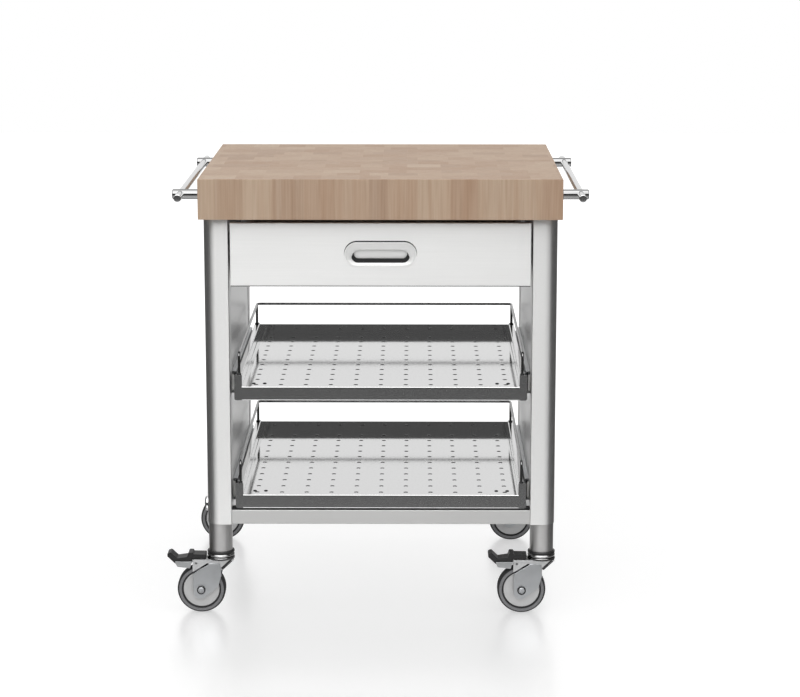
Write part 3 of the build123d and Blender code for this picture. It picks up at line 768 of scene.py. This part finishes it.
# Polished ring: toned dark as painted dark reflection, with one bright line round it.
dark_reflection_race_steel = buffed_steel("dark_reflection_race_ring", ("#989898", "#9c9c9c"), (0.1, 0.2))
make_piece("swivel_races", [turned(profile, "z", (x, y, 0), 56) for x, y in corners.values()
                            for profile in (race_profile, pin_profile)],
           "frame", "zinc_steel", dark_reflection_race_steel, "castor_pins")


# Castors: a pressed, zinc-plated fork in two arms and a folded housing, a moulded grey wheel with
# a rubber tyre, and a bolt with capped heads. The front pair has a foot brake.

# Grey polypropylene of the wheel's core: smooth from the mould, with faint flow marks some 25 mm
# long and a soft sheen.
grey_plastic = mottled("grey_moulded_polypropylene", 40.0, 3.0, ("#bababa", "#c6c6c6"),
                       (0.36, 0.48))
# Dark rubber of the tread: matt, faintly dusty in specks of 3 mm, without markings, and darker than
# the side band as painted shade in the groove and at the shoulders.
rubber = mottled("shade_dark_tread_rubber", 320.0, 4.0, ("#232324", "#363637"), (0.62, 0.8),
                 (0.15, 0.0003), Specular_IOR_Level=0.35)
# Grey rubber of the flat side band: the same skin, but paler and smoother.
band_rubber = mottled("grey_side_band_rubber", 320.0, 4.0, ("#69696b", "#828284"), (0.5, 0.66),
                      Specular_IOR_Level=0.35)
# The fork's arms and the axle bolt take a darker copy of the housing's zinc: painted shade on them,
# and painted light on the paler housing.
shade_dark_arm_zinc = zinc_plate("shade_dark_zinc_fork_arm", ("#b2b4b6", "#c2c4c6"), (0.32, 0.44))
light_pale_housing_zinc = zinc_plate("light_pale_zinc_fork_housing", ("#dfe0e1", "#eeeeee"), (0.3, 0.42))

# Outlines are places along X and Z about the castor's pin, at floor level, but the arms' is about
# the axle. Profiles are places along the axle or the pin, and radii.
trail, axle_z, arm_in, arm_out, wall_in = 40, 49, 17, 19.5, 15
arm_line = rounded([(-16, 0), (-16, 34), (18, 55), (39, 55), (41.5, 31), (34.4, 5.7),
                    (9.7, -12.7), (0.8, -19.4), (-16, -17)], [3, 6, 3, 4, 5, 6, 0, 14, 12.5])
arm_line = arm_line + (-trail, axle_z)
skirt_line = rounded([(-57, 86), (-27, 104.6), (-18, 100), (-14, 84), (-2, 84), (2, 91),
                      (21, 108.5), (24, 112), (-57, 112)], [0.8, 2, 2, 2, 4, 3, 1, 0.3, 1.5], 4)
tyre_half = [(-10, 36.6), (-11.5, 36.6), (-12.2, 37.4), (-12.2, 38.4), (-13.4, 39.0), (-14, 40.2),
             (-14, 43.4), (-13.4, 46.0), (-12.0, 47.8), (-9.6, 48.8), (-6, 49)]
core_half = [(-15.8, 4.1), (-15.8, 11), (-15.0, 12), (-11, 12.4), (-10.6, 14), (-10.9, 30),
             (-11.6, 33), (-11.8, 35.6), (-11.2, 36.4), (-10, 36.5)]
band_profile = [(-12.8, 39.6), (-14.15, 40.0), (-14.3, 42.6), (-14.15, 45.2), (-12.8, 45.7)]
bolt_half = [(-24.4, 0), (-24.4, 3.2), (-23.4, 3.6), (-23.6, 5.6), (-23.0, 6.4), (-21.2, 6.6),
             (-21.0, 4.0)]
cap_profile = [(19.5, 4.2), (19.5, 8.5), (22.6, 8.5), (23.4, 8.0), (23.6, 7.2), (22.4, 6.7),
               (21.6, 6.7), (21.4, 4.2)]
collar_profile = [(112, 6.1), (112, 27.2), (112.8, 28), (115.4, 28), (116.6, 27.2), (117, 25.6),
                  (117, 6.1)]


def both_walls(outline, near, far):
    """Two flat plates of one outline, at either side of the castor's middle."""
    return [prism(outline, "y", near, far), prism(outline, "y", -far, -near)]


def fork_nose(top, foot, bend):
    """The rounded front wall between the two sides: a U of sheet in the plane across the slanted
    edge, carried down the edge, whose direction and outward normal turn it into place."""
    run = np.subtract(foot, top)
    u_line = [(-bend - 0.5, -arm_in), (-1.0, -arm_in), (-1.0, arm_in), (-bend - 0.5, arm_in)]
    points, faces = folded(u_line, 2.0, bend - 1, "z", 0, np.linalg.norm(run), 8)
    across, side, along = points.T
    down = unit(run)
    x = top[0] - down[1] * across + down[0] * along
    z = top[1] + down[0] * across + down[1] * along
    return np.stack([x, side, z], 1), faces


def moved(shapes, x, y):
    """Shapes drawn about a castor's pin, put under the leg at x and y."""
    return [(points + (x, y, 0), faces) for points, faces in shapes]


roof = box_shape(-57, 26, -arm_in + 0.2, arm_in - 0.2, 109.5, 112)
housing = both_walls(skirt_line, wall_in, arm_in) + [roof]
# The nose is black nylon: painted shade on the fork's slanted front edge.
nose = fork_nose((24.5, 108.4), (5.0, 90.0), 6)
arms = both_walls(arm_line, arm_in + 0.02, arm_out)
pin, hub = (0, 0, 0), (-trail, 0, axle_z)
collar = turned(collar_profile, "z", pin, 56)
bolt = turned(bolt_half + other_half(bolt_half), "y", hub, 32)
caps = [turned(line, "y", hub, 40) for line in (cap_profile, other_half(cap_profile))]
core = turned(core_half + other_half(core_half), "y", hub, 72)
tyre = turned(tyre_half + other_half(tyre_half), "y", hub, 96)
bands = [turned(line, "y", hub, 96) for line in (band_profile, other_half(band_profile))]
for corner, place in corners.items():
    for part, shapes, body, slot, finish, node, ease in (
            ("fork_housing", housing, "castor", "zinc_steel", light_pale_housing_zinc, "fork", 0.5),
            ("fork_nose", [nose], "castor", "black_plastic", black_nylon, "fork", 0),
            ("fork_arms", arms, "castor", "zinc_steel", shade_dark_arm_zinc, "fork", 0.8),
            ("fork_collar", [collar], "castor", "zinc_steel", dark_reflection_race_steel, "fork", 0),
            ("axle_bolt", [bolt], "castor", "zinc_steel", shade_dark_arm_zinc, "axle", 0),
            ("axle_caps", caps, "castor", "black_plastic", black_nylon, "axle", 0),
            ("core", [core], "wheel", "grey_plastic", grey_plastic, "wheel_core", 0),
            ("rubber", [tyre], "wheel", "tyre_rubber", rubber, "tyre", 0),
            ("side_bands", bands, "wheel", "tyre_rubber", band_rubber, "tyre", 0)):
        make_piece(f"{corner}_{part}", moved(shapes, *place), f"{corner}_{body}", slot, finish,
                   f"{corner}_{node}", ease=ease)


# Foot brakes: a pressed channel that pivots at the back of the fork and carries a shoe over the
# tyre, with a black moulded pedal whose toe piece turns up.

cheek_line = rounded([(-59, 107.5), (-92, 107.5), (-92, 103.5), (-88, 96.5), (-62, 93.5)],
                     [0.5, 1, 2, 4, 2], 4)
tread_line = rounded([(-30, 113.5), (-30, 122), (-55, 122.5), (-57, 126), (-65, 126), (-68, 117),
                      (-88, 114), (-101, 126.5), (-108, 124), (-108, 118), (-93, 103.5),
                      (-92, 103.5), (-92, 107.5), (-58, 107.5), (-58, 113.5)],
                     [0.5, 1.5, 1, 1, 1.5, 2, 3, 3, 2.5, 2.5, 0.2, 0.2, 0.3, 0.3, 0.3], 4)
web = box_shape(-92, -59, -arm_in + 0.2, arm_in - 0.2, 105.5, 107.5)
neck = box_shape(-60, -47, -14.5, 14.5, 105.5, 107.5)
shoe = box_shape(-71, -62, -12, 12, 95.7, 105.5)
pivot = turned([(-arm_in, 0), (-arm_in, 2.5), (arm_in, 2.5), (arm_in, 0)], "y", (-50, 0, 104), 20)
lever = both_walls(cheek_line, wall_in, arm_in) + [web, neck, shoe, pivot]
tread = prism(tread_line, "y", -15, 15)
for corner in ("front_left", "front_right"):
    brake = f"{corner}_brake"
    make_piece(f"{corner}_brake_channel", moved(lever, *corners[corner]), brake, "zinc_steel",
               zinc, f"{corner}_brake_lever", ease=0.4)
    make_piece(f"{corner}_brake_tread", moved([tread], *corners[corner]), brake,
               "black_plastic", black_nylon, f"{corner}_brake_pedal", ease=0.8)


# Studio: a pale floor, a white surround, one wide lamp above and a softer one in front. None of
# it is part of the trolley.

# The surround is plain white to the camera. Mirrors see bright bands in front, behind and
# overhead, and a dim rest, so that steel looks like steel.
world = bpy.data.worlds.new("studio_surround")
bpy.context.scene.world = world
world.use_nodes = True
tree = world.node_tree
toward = add_node(tree, "TexCoord").outputs["Generated"]
toward = add_node(tree, "SeparateXYZ", {"Vector": toward}).outputs
flat = add_node(tree, "CombineXYZ", {"X": toward["X"], "Y": toward["Y"]})
flat = add_node(tree, "VectorMath", {0: flat}, operation="NORMALIZE")
heading = add_node(tree, "SeparateXYZ", {"Vector": flat}).outputs["Y"]
up = toward["Z"]
rest_light = 0.1
facing, raised, behind, overhead = (
    add_node(tree, "MapRange", {"Value": value, "From Min": start, "From Max": full, "To Min": dim,
                                "To Max": bright}, interpolation_type="SMOOTHSTEP")
    for value, start, full, dim, bright in (
        (heading, -0.35, -0.75, 0.0, 2.75), (up, 0.28, 0.5, 0.0, 1.0),
        (heading, 0.84, 0.93, rest_light, 0.76 + rest_light),
        (up, 0.75, 0.95, rest_light, 0.9 + rest_light)))
bands = add_node(tree, "Math", {0: facing, 1: raised, 2: rest_light}, operation="MULTIPLY_ADD")
for band in (behind, overhead):
    bands = add_node(tree, "Math", {0: bands, 1: band}, operation="MAXIMUM")
ray = add_node(tree, "LightPath").outputs
strength = add_node(tree, "Math", {0: ray["Is Camera Ray"], 1: ray["Is Transmission Ray"]})
for kind, light in (("Is Glossy Ray", bands), ("Is Diffuse Ray", 0.7)):
    strength = add_node(tree, "Math", {0: ray[kind], 1: light, 2: strength},
                        operation="MULTIPLY_ADD")
set_inputs(tree.nodes["Background"], {"Color": (1, 1, 1, 1), "Strength": strength})

floor_half_size = 9.0
floor_mesh = bpy.data.meshes.new("studio_floor")
floor_mesh.from_pydata([(x * floor_half_size, y * floor_half_size, 0)
                        for x, y in ((-1, -1), (1, -1), (1, 1), (-1, 1))], [], [(0, 1, 2, 3)])
floor = bpy.data.objects.new("studio_floor", floor_mesh)
bpy.context.scene.collection.objects.link(floor)
# White floor board: it takes a soft shadow and a faint blurred reflection, and turns pure white
# away from the trolley. Mirrors see it dark ahead of the trolley and beside it.
board = bpy.data.materials.new("white_floor_board")
board.use_nodes = True
tree = board.node_tree
tree.nodes.clear()
ray = add_node(tree, "LightPath").outputs
spot = add_node(tree, "TexCoord").outputs["Object"]
axes = add_node(tree, "SeparateXYZ", {"Vector": spot}).outputs
aside = add_node(tree, "Math", {0: axes["X"]}, operation="ABSOLUTE")
far = add_node(tree, "VectorMath", {0: spot}, operation="LENGTH").outputs["Value"]
dark_ahead, dark_aside, near, white = (
    add_node(tree, "MapRange", {"Value": value, "From Min": start, "From Max": full, "To Min": low,
                                "To Max": high}, interpolation_type="SMOOTHSTEP")
    for value, start, full, low, high in (
        (axes["Y"], -0.5, -0.8, 0.0, 1.0), (aside, 0.45, 0.7, 0.0, 1.0),
        (far, 0.8, 1.6, 0.2, 0.0), (far, 0.8, 1.6, 0.535, 1.0)))
dark = add_node(tree, "Math", {0: dark_ahead, 1: dark_aside}, operation="MAXIMUM")
dark = add_node(tree, "Math", {0: dark, 1: ray["Is Glossy Ray"]}, operation="MULTIPLY")
lit = add_node(tree, "Math", {0: 1.0, 1: dark}, operation="SUBTRACT")
pale = add_node(tree, "Math", {0: near, 1: lit}, operation="MULTIPLY")
matte = add_node(tree, "BsdfDiffuse", {"Color": pale})
polish, haze = (
    add_node(tree, "Math", {0: ray["Is Glossy Ray"], 1: mirrored_less, 2: even},
             operation="MULTIPLY_ADD")
    for mirrored_less, even in ((-0.08, 0.38), (-0.11, 0.28)))
gloss = add_node(tree, "BsdfAnisotropic", {"Color": polish, "Roughness": haze})
seen = add_node(tree, "Math", {0: lit, 1: 0.6}, operation="MULTIPLY")
seen = add_node(tree, "Math", {0: ray["Is Glossy Ray"], 1: seen, 2: ray["Is Camera Ray"]},
                operation="MULTIPLY_ADD")
seen = add_node(tree, "Math", {0: seen, 1: ray["Is Transmission Ray"]})
glow = add_node(tree, "Math", {0: dark, 1: 0.055}, operation="MULTIPLY")
for share, light in ((ray["Is Diffuse Ray"], 0.42), (seen, white)):
    glow = add_node(tree, "Math", {0: share, 1: light, 2: glow}, operation="MULTIPLY_ADD")
surface = add_node(tree, "Emission", {"Color": (1, 1, 1, 1), "Strength": glow})
for layer in (matte, gloss):
    surface = add_node(tree, "AddShader", {0: surface, 1: layer})
add_node(tree, "OutputMaterial", {"Surface": surface})
floor_mesh.materials.append(board)


def soft_lamp(name, place, aim, size, power):
    """A wide lamp at a place, turned so that its back points away from what it aims at."""
    lamp = bpy.data.lights.new(name, "AREA")
    lamp.shape = "RECTANGLE"
    lamp.size, lamp.size_y = size
    lamp.energy = power
    holder = bpy.data.objects.new(name, lamp)
    bpy.context.scene.collection.objects.link(holder)
    holder.location = place
    line = holder.location.copy()
    line.x, line.y, line.z = (place[i] - aim[i] for i in range(3))
    holder.rotation_euler = line.to_track_quat("Z", "Y").to_euler()


soft_lamp("top_softbox", (0.0, -0.4, 3.2), (0.0, 0.0, 0.5), (2.6, 2.2), 16)
soft_lamp("front_softbox", (-0.6, -3.2, 2.6), (0.0, 0.0, 0.6), (2.4, 1.6), 20)

eye = (0.0664, -4.9029, 1.4607)
pitch, yaw = math.radians(11.181), math.radians(-0.347)
camera = bpy.data.cameras.new("photo_camera")
camera.sensor_width = 36
camera.lens = 106.43
holder = bpy.data.objects.new("photo_camera", camera)
bpy.context.scene.collection.objects.link(holder)
holder.location = eye
holder.rotation_euler = (math.pi / 2 - pitch, 0, -yaw)
bpy.context.scene.camera = holder
bpy.context.scene.view_settings.view_transform = "Standard"
